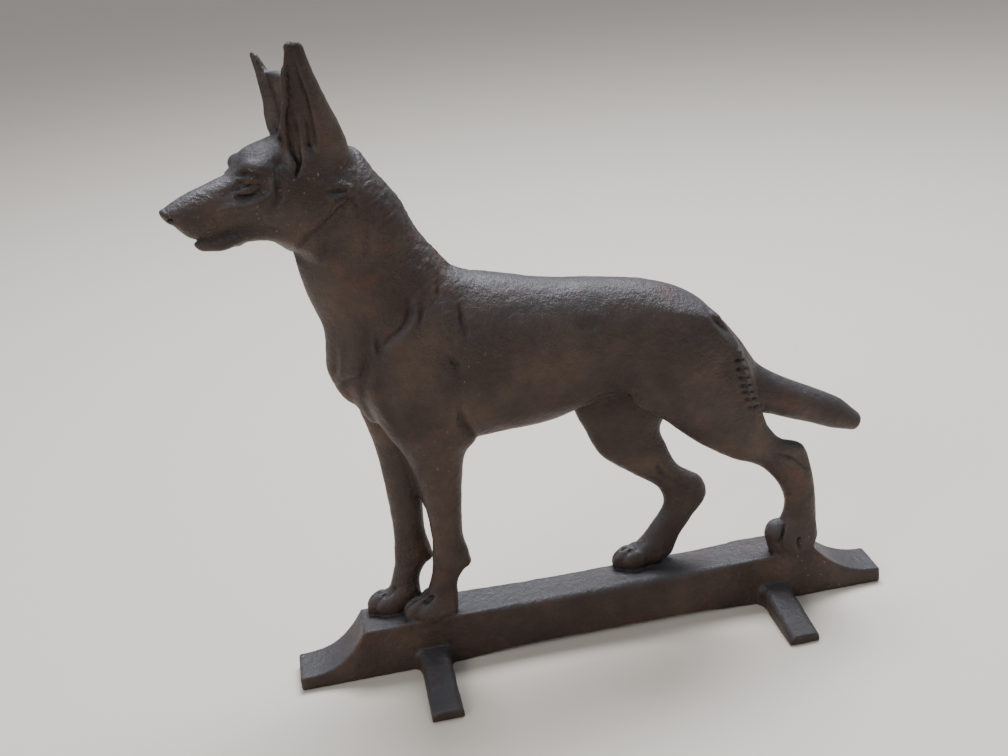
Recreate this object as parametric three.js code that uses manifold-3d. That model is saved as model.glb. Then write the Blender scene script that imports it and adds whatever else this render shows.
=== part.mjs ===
// Cast iron dog statue: a German shepherd standing four-square on a low bar with cross feet.
// Millimetres, +Z up. The bar runs along X, the dog faces -X, its near flank is -Y.
// One casting, so one solid: every mass below is lofted or extruded, then joined and cut.

import * as THREE from 'three';
import { ParametricGeometry } from 'three/addons/geometries/ParametricGeometry.js';
import { mergeVertices } from 'three/addons/utils/BufferGeometryUtils.js';
import Module from 'manifold-3d';

// ---------------------------------------------------------------- driving sizes

// The bar the dog stands on
const BAR_FRONT = -179;
const BAR_REAR = 177.5;
const BAR_WIDTH = 25.5;
const BAR_TOP = 32;
const BAR_EDGE = 1.3;
const BAR_EDGE_WORN = 4.2;
const DECK_FRONT = -138.8;
const DECK_REAR = 134.5;
const END_THICK_FRONT = 9;
const END_THICK_REAR = 10;
const SCOOP_FRONT = 2.9;
const SCOOP_REAR = 2.3;
const ARCH_RISE = 3;
const ARCH_RUN = 45;
const WORN_FROM = -85;
const WORN_TO = 105;
const END_CORNER = 2.5;

// The four cross feet
const FOOT_FRONT_X = -100.8;
const FOOT_REAR_X = 109;
const FOOT_REACH_FRONT = 63.5;
const FOOT_REACH_REAR = 58;
const FOOT_REACH_FAR = 52;
const FOOT_ROOT_TOP = 14.2;
const FOOT_TIP_TOP = 6.4;
const FOOT_ROOT_WIDTH = 17;
const FOOT_TIP_WIDTH = 18.2;
const FOOT_BEVEL = 2.6;
const FOOT_WEB = 8;

// The dog
const LEG_SIDE = 7;
const HEAD_TURN = THREE.MathUtils.degToRad(22);
const HEAD_PIVOT_X = -118;

// How finely the masses are faceted
const AROUND_BODY = 18;
const AROUND_HEAD = 18;
const AROUND_LIMB = 12;
const AROUND_SMALL = 8;

// ---------------------------------------------------------------- joining and cutting

const wasm = await Module();
wasm.setup();

/** Turns a closed three.js geometry into a manifold solid. */
function solid(geometry) {
  const bare = geometry.clone();
  bare.deleteAttribute('normal');
  bare.deleteAttribute('uv');
  const merged = mergeVertices(bare, 1e-3);
  const index = merged.index.array;
  const tris = [];
  for (let i = 0; i < index.length; i += 3) {
    const [a, b, c] = [index[i], index[i + 1], index[i + 2]];
    if (a !== b && b !== c && c !== a) tris.push(a, b, c);
  }
  const body = new wasm.Manifold(new wasm.Mesh({
    numProp: 3,
    vertProperties: new Float32Array(merged.attributes.position.array),
    triVerts: new Uint32Array(tris),
  }));
  return body;
}

/** The solid of a closed geometry, with its faces turned outwards if they are not already. */
function outward(geometry) {
  const body = solid(geometry);
  if (body.volume() > 0) return body;
  const index = geometry.index.array;
  for (let i = 0; i < index.length; i += 3) [index[i], index[i + 1]] = [index[i + 1], index[i]];
  return solid(geometry);
}

/** Turns a manifold solid back into a three.js geometry. */
function geometryOf(body) {
  const mesh = body.getMesh();
  const geometry = new THREE.BufferGeometry();
  geometry.setAttribute('position', new THREE.BufferAttribute(new Float32Array(mesh.vertProperties), 3));
  geometry.setIndex(new THREE.BufferAttribute(new Uint32Array(mesh.triVerts), 1));
  return geometry;
}

// ---------------------------------------------------------------- lofting

/** A smooth run through values given at uneven knots. */
function smooth(knots, values, t) {
  let i = 0;
  while (i < knots.length - 2 && t > knots[i + 1]) i += 1;
  const slope = (k) => {
    const lo = Math.max(k - 1, 0);
    const hi = Math.min(k + 1, knots.length - 1);
    return (values[hi] - values[lo]) / (knots[hi] - knots[lo]);
  };
  const span = knots[i + 1] - knots[i];
  const s = (t - knots[i]) / span;
  const [s2, s3] = [s * s, s * s * s];
  return (2 * s3 - 3 * s2 + 1) * values[i]
    + (s3 - 2 * s2 + s) * span * slope(i)
    + (-2 * s3 + 3 * s2) * values[i + 1]
    + (s3 - s2) * span * slope(i + 1);
}

/**
 * A rounded mass lofted through sections seen from the side. Each section runs from `fore` to
 * `aft`, both [x, z]; `side` is where its middle sits in y and `half` its half-thickness in y.
 * `square` makes it boxier than an ellipse; `keel` widens it towards `fore`.
 */
function loft({ sections, rings, around, capStart = 1, capEnd = 1, square = 2, keel = 0 }) {
  const pick = (read) => sections.map(read);
  const track = {
    fx: pick((s) => s.fore[0]),
    fz: pick((s) => s.fore[1]),
    ax: pick((s) => s.aft[0]),
    az: pick((s) => s.aft[1]),
    side: pick((s) => s.side ?? 0),
    half: pick((s) => s.half),
  };
  const knots = [0];
  for (let i = 1; i < sections.length; i += 1) {
    const dx = (track.fx[i] + track.ax[i] - track.fx[i - 1] - track.ax[i - 1]) / 2;
    const dz = (track.fz[i] + track.az[i] - track.fz[i - 1] - track.az[i - 1]) / 2;
    knots.push(knots[i - 1] + Math.sqrt(Math.hypot(dx, dz) + 0.5));
  }
  const last = knots[knots.length - 1];
  const at = (t) => {
    const get = (name) => smooth(knots, track[name], t);
    const fore = new THREE.Vector3(get('fx'), get('side'), get('fz'));
    const aft = new THREE.Vector3(get('ax'), get('side'), get('az'));
    return {
      mid: fore.clone().add(aft).multiplyScalar(0.5),
      reach: fore.clone().sub(aft).multiplyScalar(0.5),
      half: get('half'),
    };
  };
  const capRings = 2;
  const slabs = [];
  const cap = (t, neighbour, length, order) => {
    const end = at(t);
    const out = end.mid.clone().sub(at(neighbour).mid).normalize();
    const bulge = length * Math.min(end.reach.length(), end.half);
    for (const k of order) {
      const turn = (k / capRings) * (Math.PI / 2);
      slabs.push({
        mid: end.mid.clone().addScaledVector(out, bulge * Math.sin(turn)),
        reach: end.reach.clone().multiplyScalar(Math.cos(turn)),
        half: end.half * Math.cos(turn),
      });
    }
  };
  cap(0, last * 0.02, capStart, [2, 1]);
  for (let i = 0; i <= rings; i += 1) slabs.push(at((last * i) / rings));
  cap(last, last * 0.98, capEnd, [1, 2]);

  const power = (value) => Math.sign(value) * Math.abs(value) ** (2 / square);
  const geometry = new ParametricGeometry((u, v, target) => {
    const slab = slabs[Math.round(v * (slabs.length - 1))];
    const turn = u >= 1 ? 0 : u * Math.PI * 2;
    const along = power(Math.cos(turn));
    const across = power(Math.sin(turn)) * (1 + keel * along);
    target.copy(slab.mid).addScaledVector(slab.reach, along);
    target.y += slab.half * across;
  }, around, slabs.length - 1);
  return outward(geometry);
}

/** An egg of muscle, bone or pad: centre, half-sizes, and its pitch in the side view. */
function lump([x, y, z], [rx, ry, rz], pitch = 0, yaw = 0) {
  const ball = new THREE.SphereGeometry(1, 8, 6);
  const place = new THREE.Matrix4().compose(
    new THREE.Vector3(x, y, z),
    new THREE.Quaternion().setFromEuler(new THREE.Euler(0, -pitch, yaw, 'ZYX')),
    new THREE.Vector3(rx, ry, rz),
  );
  return solid(ball.applyMatrix4(place));
}

// ---------------------------------------------------------------- bar and feet

/** Height of the bar's top at x: a flat deck with a hollow scoop down to each end. */
function barTop(x) {
  const front = Math.max(0, (DECK_FRONT - x) / (DECK_FRONT - BAR_FRONT));
  const rear = Math.max(0, (x - DECK_REAR) / (BAR_REAR - DECK_REAR));
  if (front > 0) return END_THICK_FRONT + (BAR_TOP - END_THICK_FRONT) * (1 - front) ** SCOOP_FRONT;
  return END_THICK_REAR + (BAR_TOP - END_THICK_REAR) * (1 - rear) ** SCOOP_REAR;
}

/** Height of the bar's underside at x: it touches down under the feet and arches between them. */
function barBottom(x) {
  const inside = Math.min(x - FOOT_FRONT_X, FOOT_REAR_X - x) - FOOT_TIP_WIDTH;
  const share = THREE.MathUtils.clamp(inside / ARCH_RUN, 0, 1);
  return ARCH_RISE * Math.sin((share * Math.PI) / 2);
}

/** How far the bar's long top edges are rolled at x: crisp at the ends, worn between the paws. */
function barEdge(x) {
  const inside = Math.min(x - WORN_FROM, WORN_TO - x);
  return THREE.MathUtils.lerp(BAR_EDGE, BAR_EDGE_WORN, THREE.MathUtils.smoothstep(inside, 0, 50));
}

/** The bar: a rounded-edge rectangle carried along x between those two heights. */
function bar() {
  const spread = (from, to, count) => {
    return Array.from({ length: count }, (_, i) => from + ((to - from) * i) / count);
  };
  const springFront = FOOT_FRONT_X + FOOT_TIP_WIDTH;
  const springRear = FOOT_REAR_X - FOOT_TIP_WIDTH;
  const stations = [
    ...spread(BAR_FRONT, BAR_FRONT + END_CORNER, 2),
    ...spread(BAR_FRONT + END_CORNER, DECK_FRONT, 7),
    DECK_FRONT,
    ...spread(springFront, springFront + ARCH_RUN, 4),
    springFront + ARCH_RUN,
    ...spread(springRear - ARCH_RUN, springRear, 4),
    springRear,
    ...spread(DECK_REAR, BAR_REAR - END_CORNER, 7),
    ...spread(BAR_REAR - END_CORNER, BAR_REAR, 2),
    BAR_REAR,
  ];
  const side = BAR_WIDTH / 2;
  const geometry = new ParametricGeometry((u, v, target) => {
    const row = Math.round(v * (stations.length + 1)) - 1;
    const x = stations[THREE.MathUtils.clamp(row, 0, stations.length - 1)];
    const near = Math.max(0, END_CORNER - Math.min(x - BAR_FRONT, BAR_REAR - x)) / END_CORNER;
    const round = END_CORNER * (1 - Math.sqrt(1 - near * near)) * 0.8;
    const top = barTop(x) - round;
    const bottom = barBottom(x) + round;
    if (row < 0 || row >= stations.length) {
      target.set(x, 0, (top + bottom) / 2);
      return;
    }
    const e = Math.min(barEdge(x), (top - bottom) / 4);
    const foot = Math.min(BAR_EDGE, (top - bottom) / 4);
    const ring = [
      [-side, bottom + foot],
      [-side, top - e],
      [-side + e * 0.3, top - e * 0.3],
      [-side + e, top],
      [side - e, top],
      [side - e * 0.3, top - e * 0.3],
      [side, top - e],
      [side, bottom + foot],
      [side - foot, bottom],
      [-side + foot, bottom],
    ];
    const [y, z] = ring[Math.round(u * ring.length) % ring.length];
    target.set(x, y, z);
  }, 10, stations.length + 1);
  return outward(geometry);
}

/** One cross foot, lofted out along y from the bar's face to its bevelled tip. */
function foot(x, direction, reach) {
  const root = BAR_WIDTH / 2 - 6;
  const run = reach - root;
  const steps = [0, FOOT_WEB / 2, FOOT_WEB, run * 0.6, run - 1.8, run];
  const geometry = new ParametricGeometry((u, v, target) => {
    const capped = v < 1e-6 || v > 1 - 1e-6;
    const level = Math.min(Math.max(Math.round(v * (steps.length + 1)) - 1, 0), steps.length - 1);
    const out = steps[level];
    const share = out / run;
    const tip = level === steps.length - 1 ? 1.6 : 0;
    const flare = Math.max(0, 1 - out / (FOOT_WEB + 6)) ** 2 * 7;
    const half = THREE.MathUtils.lerp(FOOT_ROOT_WIDTH, FOOT_TIP_WIDTH, share) / 2 + flare - tip;
    const top = THREE.MathUtils.lerp(FOOT_ROOT_TOP, FOOT_TIP_TOP, share) - tip;
    const corners = [
      [-half, 0.8],
      [-half, top - FOOT_BEVEL],
      [-half + FOOT_BEVEL, top - 0.5],
      [0, top],
      [half - FOOT_BEVEL, top - 0.5],
      [half, top - FOOT_BEVEL],
      [half, 0.8],
      [half - 1, 0],
      [-half + 1, 0],
    ];
    const [cx, cz] = corners[Math.round(u * corners.length) % corners.length];
    target.set(x + (capped ? 0 : cx), direction * (root + out), capped ? top / 2 : cz);
  }, 9, steps.length + 1);
  return outward(geometry);
}

function base() {
  let body = bar();
  body = body.add(foot(FOOT_FRONT_X, -1, FOOT_REACH_FRONT));
  body = body.add(foot(FOOT_REAR_X, -1, FOOT_REACH_REAR));
  for (const x of [FOOT_FRONT_X, FOOT_REAR_X]) body = body.add(foot(x, 1, FOOT_REACH_FAR));
  return body;
}

// ---------------------------------------------------------------- trunk and neck

function trunk() {
  return loft({
    sections: [
      { fore: [-133, 196], aft: [-124, 172], half: 8.5 },
      { fore: [-124, 222], aft: [-115, 158], half: 16.5 },
      { fore: [-100, 236], aft: [-98, 146], half: 22.5 },
      { fore: [-74, 237], aft: [-72, 140], half: 25.5 },
      { fore: [-46, 231.8], aft: [-46, 140.8], half: 26 },
      { fore: [-16, 224], aft: [-20, 142.5], half: 25.2 },
      { fore: [14, 219.5], aft: [6, 149], half: 22.8 },
      { fore: [42, 213.8], aft: [34, 152], half: 21.8 },
      { fore: [66, 202.5], aft: [56, 148], half: 20.5 },
      { fore: [84, 183], aft: [72, 140], half: 17 },
      { fore: [97, 162], aft: [84, 134], half: 11.5 },
    ],
    rings: 15,
    around: AROUND_BODY,
    capStart: 0.6,
    capEnd: 0.7,
    square: 2.15,
    keel: -0.04,
  });
}

function neck() {
  return loft({
    sections: [
      { fore: [-118, 160], aft: [-62, 190], half: 18 },
      { fore: [-134.5, 190], aft: [-57, 224], half: 21 },
      { fore: [-135, 214], aft: [-67.5, 242.3], half: 20.5 },
      { fore: [-141, 236], aft: [-80, 260.3], half: 19.5, side: -0.5 },
      { fore: [-144, 254], aft: [-88.8, 280.5], half: 19, side: -1.5 },
      { fore: [-149, 270], aft: [-100.2, 296], half: 19, side: -3 },
      { fore: [-146, 290], aft: [-109.5, 302.5], half: 17, side: -4 },
    ],
    rings: 12,
    around: AROUND_BODY,
    capStart: 0.5,
    capEnd: 0.4,
    keel: -0.1,
  });
}

// ---------------------------------------------------------------- head (built facing -X, then turned)

function head() {
  const skull = loft({
    sections: [
      { fore: [-206.5, 296.5], aft: [-203.5, 288.5], half: 4.8 },
      { fore: [-200, 299.5], aft: [-197, 281], half: 7.3 },
      { fore: [-191, 302.2], aft: [-189.5, 278.3], half: 8.2 },
      { fore: [-181, 304.5], aft: [-179, 278.5], half: 9.2 },
      { fore: [-172, 307], aft: [-169, 278], half: 11.5 },
      { fore: [-163, 315.5], aft: [-159, 274.5], half: 16.5 },
      { fore: [-150, 319], aft: [-148, 267], half: 20 },
      { fore: [-136, 320.5], aft: [-136, 261], half: 20.5 },
      { fore: [-120, 316.5], aft: [-122, 262], half: 18.5 },
      { fore: [-109, 307], aft: [-112, 272], half: 14 },
    ],
    rings: 18,
    around: AROUND_HEAD,
    capStart: 0.7,
    capEnd: 0.7,
    square: 2.2,
    keel: -0.06,
  });
  const jaw = loft({
    sections: [
      { fore: [-193.5, 277.5], aft: [-190.5, 272.5], half: 4.6 },
      { fore: [-185, 279.5], aft: [-182, 270.8], half: 6.6 },
      { fore: [-173, 281], aft: [-171, 272.2], half: 8 },
      { fore: [-161, 283], aft: [-158, 269.8], half: 11 },
      { fore: [-150, 284], aft: [-147, 261], half: 14 },
      { fore: [-138, 286], aft: [-137, 252], half: 14.5 },
    ],
    rings: 10,
    around: AROUND_LIMB,
    capStart: 0.8,
    capEnd: 0.5,
  });
  const mouth = loft({
    sections: [
      { fore: [-198, 278.8], aft: [-198, 277.6], half: 12 },
      { fore: [-186, 278.6], aft: [-186, 277.3], half: 12 },
      { fore: [-173, 279.7], aft: [-173, 278.4], half: 14 },
      { fore: [-165, 277.8], aft: [-165, 276.8], half: 18 },
    ],
    rings: 6,
    around: 6,
    capStart: 0.1,
    capEnd: 0.1,
  });
  let body = skull.add(jaw);
  const muzzleCore = loft({
    sections: [
      { fore: [-192, 285], aft: [-192, 273], half: 5.2 },
      { fore: [-176, 285], aft: [-176, 273], half: 7.4 },
      { fore: [-158, 285], aft: [-158, 273], half: 12.5 },
    ],
    rings: 4,
    around: AROUND_SMALL,
    capStart: 0.6,
    capEnd: 0.2,
  });
  body = body.subtract(mouth.subtract(muzzleCore));
  for (const side of [-1, 1]) {
    body = body.add(lump([-162, side * 9.8, 308.6], [7.5, 4.4, 3.6], -0.3, side * 0.35));
    body = body.add(lump([-160, side * 12, 292], [14, 5, 5], 0.08, side * 0.25));
    body = body.subtract(lump([-170, side * 13.6, 299.6], [6.4, 4.4, 4.4], -0.35, side * 0.5));
    body = body.add(lump([-167.4, side * 11, 298.4], [4.6, 3, 2.8], -0.1, side * 0.5));
    body = body.add(ear(side));
  }
  return body.add(earWeb());
}

/** A pricked ear: a tapering shell, hollowed from its front and outer side. */
function ear(side) {
  const near = side < 0;
  const front = near ? 0 : 4.5;
  const lean = near ? 0 : -3.5;
  const tip = near ? 1 : -6;
  const shell = loft({
    sections: [
      { fore: [-147 + front, 297], aft: [-114, 294], half: 6, side: side * 9 },
      { fore: [-148 + front, 309], aft: [-114, 307], half: 8.2, side: side * 12 },
      { fore: [-148 + front, 322], aft: [-118, 321], half: 8.4, side: side * 14.5 },
      { fore: [-147 + front + lean * 0.3, 335 + tip * 0.4], aft: [-124.4 + lean * 0.4, 334 + tip * 0.4], half: 7, side: side * 17.5 },
      { fore: [-146.2 + front + lean * 0.7, 348 + tip * 0.8], aft: [-129.8 + lean, 347 + tip * 0.8], half: 5.2, side: side * 20 },
      { fore: [-144 + front + lean, 360 + tip], aft: [-134 + lean * 1.4, 359 + tip], half: 3.2, side: side * 22 },
    ],
    rings: 8,
    around: AROUND_LIMB,
    capStart: 0.3,
    capEnd: 1.5,
  });
  const hollow = loft({
    sections: [
      { fore: [-156 + front, 311], aft: [-133.5, 308], half: 5, side: side * 18.5 },
      { fore: [-156 + front, 332 + tip * 0.4], aft: [-135, 330 + tip * 0.4], half: 5, side: side * 21.5 },
      { fore: [-154 + front, 347 + tip * 0.8], aft: [-138, 346 + tip * 0.8], half: 3.8, side: side * 22.5 },
      { fore: [-150 + front + lean, 359 + tip], aft: [-140.5 + lean, 358 + tip], half: 2.2, side: side * 23.5 },
    ],
    rings: 5,
    around: AROUND_SMALL,
    capStart: 0.6,
    capEnd: 0.8,
  });
  return shell.subtract(hollow);
}

/** The metal left between the two ears. */
function earWeb() {
  return loft({
    sections: [
      { fore: [-140, 308], aft: [-124, 308], half: 15 },
      { fore: [-139, 328], aft: [-129, 328], half: 16 },
      { fore: [-140, 346], aft: [-133, 346], half: 18 },
    ],
    rings: 4,
    around: AROUND_SMALL,
    capStart: 0.2,
    capEnd: 0.6,
    square: 3,
  });
}

// ---------------------------------------------------------------- legs and tail

/** A paw flat on the bar: a wedge body with four toes fanned at its front. */
function paw(x, y, spread = 1, lift = 0) {
  let body = loft({
    sections: [
      { fore: [x + 1, BAR_TOP + 12 + lift], aft: [x + 1, BAR_TOP - 2], half: 6 * spread, side: y },
      { fore: [x + 10, BAR_TOP + 17 + lift], aft: [x + 10, BAR_TOP - 2], half: 7 * spread, side: y },
      { fore: [x + 21, BAR_TOP + 20], aft: [x + 21, BAR_TOP - 2], half: 6.4 * spread, side: y },
    ],
    rings: 3,
    around: AROUND_SMALL,
    capStart: 0.6,
    capEnd: 0.6,
    square: 2.4,
  });
  const toes = [
    { out: -4.9, back: 3.4, size: 0.9 },
    { out: -1.75, back: 0, size: 1 },
    { out: 1.75, back: 0, size: 1 },
    { out: 4.9, back: 3.4, size: 0.9 },
  ];
  for (const toe of toes) {
    const tall = (6.6 + lift * 0.6) * toe.size;
    const centre = [x + toe.back + 0.6, y + toe.out * spread, BAR_TOP + tall - 1.4];
    body = body.add(lump(centre, [7.6 * toe.size, 2.6, tall], -0.35));
  }
  return body;
}

function foreleg(side) {
  const near = side < 0;
  const y = side * LEG_SIDE;
  const shift = near ? 0 : -20.2;
  const limb = loft({
    sections: [
      { fore: [-108 + shift * 0.2, 214], aft: [-72 + shift * 0.2, 218], half: 8, side: side * 11 },
      { fore: [-121 + shift * 0.3, 184], aft: [-60 + shift * 0.3, 182], half: 10.5, side: side * 13 },
      { fore: [-113 + shift * 0.45, 158], aft: [-62 + shift * 0.6, 146], half: 10.3, side: side * 12.3 },
      { fore: [-103 + shift * 0.72, 139], aft: [-69.5 + shift, 134], half: 9.2, side: side * 10 },
      { fore: [-96.3 + shift * 0.92, 115], aft: [-73 + shift, 114], half: 7.6, side: side * 8 },
      { fore: [-93.3 + shift, 84], aft: [-75.5 + shift, 84], half: 6.6, side: y },
      { fore: [-94.3 + shift, 71], aft: [-74.2 + shift, 70], half: 6.8, side: y },
      { fore: [-95.2 + shift, 62], aft: [-76.5 + shift, 61], half: 6.5, side: y },
      { fore: [-97.5 + shift, 54], aft: [-81 + shift, 54], half: 6.2, side: y },
      { fore: [-101 + shift, 44], aft: [-83 + shift, 44], half: 6.2, side: y },
      { fore: [-103 + shift, 34], aft: [-85 + shift, 34], half: 6, side: y },
    ],
    rings: 12,
    around: AROUND_LIMB,
    capStart: 0.6,
    capEnd: 0.2,
  });
  const pads = paw(-107.5 + shift, y);
  return limb.add(pads);
}

function hindlegNear() {
  const side = -1;
  const limb = loft({
    sections: [
      { fore: [34, 204], aft: [78, 190], half: 8, side: side * 11 },
      { fore: [20, 176], aft: [89.5, 170], half: 11, side: side * 12 },
      { fore: [26, 149.5], aft: [98, 147], half: 11.5, side: side * 11.5 },
      { fore: [44, 134], aft: [102.5, 128], half: 10.5, side: side * 10.5 },
      { fore: [62, 117], aft: [107, 117], half: 8.6, side: side * 9 },
      { fore: [83, 102], aft: [115, 108], half: 7.2, side: side * 8 },
      { fore: [102, 92], aft: [128.5, 101], half: 6.6, side: side * 7 },
      { fore: [113, 78.5], aft: [133.5, 85], half: 6.6, side: side * 7 },
      { fore: [117.2, 66], aft: [136, 69], half: 6, side: side * 7 },
      { fore: [115, 55], aft: [136.8, 55], half: 6.2, side: side * 7 },
      { fore: [110, 44], aft: [137.5, 42], half: 6.4, side: side * 7 },
      { fore: [108, 33], aft: [136, 32], half: 6.2, side: side * 7 },
    ],
    rings: 19,
    around: AROUND_LIMB,
    capStart: 0.6,
    capEnd: 0.1,
  });
  return limb.add(paw(110.5, side * LEG_SIDE, 1.05, 4));
}

function hindlegFar() {
  const side = 1;
  const limb = loft({
    sections: [
      { fore: [30, 202], aft: [74, 190], half: 8, side: side * 11 },
      { fore: [2, 166], aft: [78, 160], half: 11.5, side: side * 12 },
      { fore: [-2.5, 142], aft: [62, 140], half: 11, side: side * 11.5 },
      { fore: [3.2, 125], aft: [48, 121], half: 9.5, side: side * 10 },
      { fore: [11, 108.5], aft: [50.5, 108], half: 8, side: side * 8.5 },
      { fore: [28, 94.5], aft: [57, 94], half: 7, side: side * 7.5 },
      { fore: [44, 81.5], aft: [70.5, 83.5], half: 6.5, side: side * 7 },
      { fore: [46.8, 69.5], aft: [73, 71.5], half: 6.4, side: side * 7 },
      { fore: [39.5, 58], aft: [63.5, 58.5], half: 6, side: side * 7 },
      { fore: [31, 47], aft: [56, 48], half: 6.2, side: side * 7 },
      { fore: [25, 35], aft: [51, 36], half: 6.2, side: side * 7 },
    ],
    rings: 19,
    around: AROUND_LIMB,
    capStart: 0.6,
    capEnd: 0.1,
  });
  return limb.add(paw(20.5, side * LEG_SIDE));
}

function tail() {
  return loft({
    sections: [
      { fore: [76, 189], aft: [68, 160], half: 9 },
      { fore: [91, 172.5], aft: [88, 140], half: 10 },
      { fore: [102, 156], aft: [100, 126], half: 10 },
      { fore: [117, 144.5], aft: [112, 121], half: 9.6 },
      { fore: [137, 133.5], aft: [128, 114.5], half: 8.8 },
      { fore: [154, 123.5], aft: [147, 106.5], half: 7.6 },
      { fore: [165.5, 112.5], aft: [160, 102.5], half: 6 },
    ],
    rings: 12,
    around: AROUND_LIMB,
    capStart: 0.4,
    capEnd: 0.6,
  });
}

// ---------------------------------------------------------------- one casting

function casting() {
  const turn = new THREE.Matrix4()
    .makeTranslation(HEAD_PIVOT_X, 0, 0)
    .multiply(new THREE.Matrix4().makeRotationZ(HEAD_TURN))
    .multiply(new THREE.Matrix4().makeTranslation(-HEAD_PIVOT_X, 0, 0));
  let body = base();
  body = body.add(trunk());
  body = body.add(neck());
  body = body.add(head().transform(turn.elements));
  for (const side of [-1, 1]) body = body.add(foreleg(side));
  body = body.add(hindlegNear());
  body = body.add(hindlegFar());
  body = body.add(tail());
  return body;
}

const castGeometry = geometryOf(casting());
castGeometry.computeBoundingBox();
const bounds = castGeometry.boundingBox;
castGeometry.translate(
  -(bounds.min.x + bounds.max.x) / 2,
  -(bounds.min.y + bounds.max.y) / 2,
  -bounds.min.z,
);

const castIron = new THREE.MeshStandardMaterial({
  color: new THREE.Color(0x3a302c),
  roughness: 0.52,
  metalness: 0.75,
});
const statue = new THREE.Mesh(castGeometry, castIron);
statue.name = 'dog_statue';

const part = new THREE.Group();
part.name = 'cast_iron_dog_statue';
part.add(statue);

export default part;
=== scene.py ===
import math

import bpy
import numpy as np
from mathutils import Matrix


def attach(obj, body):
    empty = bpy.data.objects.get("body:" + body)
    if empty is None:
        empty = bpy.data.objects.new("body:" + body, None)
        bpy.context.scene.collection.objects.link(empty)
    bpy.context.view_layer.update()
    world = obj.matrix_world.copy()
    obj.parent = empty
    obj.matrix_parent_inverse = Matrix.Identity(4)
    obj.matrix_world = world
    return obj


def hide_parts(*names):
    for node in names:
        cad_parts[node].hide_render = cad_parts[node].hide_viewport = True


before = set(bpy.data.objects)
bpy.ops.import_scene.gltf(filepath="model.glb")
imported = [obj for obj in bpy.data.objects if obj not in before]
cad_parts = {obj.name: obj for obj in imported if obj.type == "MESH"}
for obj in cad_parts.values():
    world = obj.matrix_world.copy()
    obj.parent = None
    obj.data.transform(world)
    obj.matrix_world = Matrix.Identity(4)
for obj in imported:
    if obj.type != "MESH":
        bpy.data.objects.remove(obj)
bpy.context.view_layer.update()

import openvdb as vdb
from mathutils import Matrix, Vector, noise

# Sizes are in millimetres in the bar's own frame; SHIFT carries them to the part's frame.
# The dog faces -X; its near side, the one in the photograph, is y < 0 and side -1.
SHIFT = np.array([12.3, 5.75, 0.0])
BAR_TOP = 32.0
BAR_HALF = 12.75
BAR_ENDS = (-179.0, 177.5)
BAR_SHOULDERS = (-138.8, 134.5)  # where the top starts to fall towards each end
BAR_TIPS = (9.0, 10.0)  # the top's height at each end
FOOT_X = (-100.8, 109.0)
FOOT_ROOT = 6.75  # out from the middle, where a foot leaves the bar
FOOT_HEIGHTS = (14.2, 6.4)  # at the root and at the tip
LEG = 7.0  # how far each leg stands out from the middle
STRIDE = -20.2  # the far foreleg against the near one
FLANK_REACH = 60.0
HEAD_TURN = math.radians(22)
HEAD_PIVOT_X = -118.0

VOXEL = 0.85
BAND = 8.5
LOW, HIGH = (-216, -74, -8), (186, 64, 374)
DOG_LOW = (-216, -74, 24)  # the dog's own grid starts inside the bar
TRIANGLES = 186000

LENS, SENSOR = 44.64, 36
CAMERA_SPOT = (-139.6, -618.7, 445.1)
CAMERA_TURN = (-8.92, 23.71, -5.46)  # degrees: swing, pitch down, roll


# ------------------------------------------------------------------ distance field

def smooth_min(a, b, k):
    h = np.clip(0.5 + 0.5 * (b - a) / k, 0, 1)
    return b * (1 - h) + a * h - k * h * (1 - h)


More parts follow.
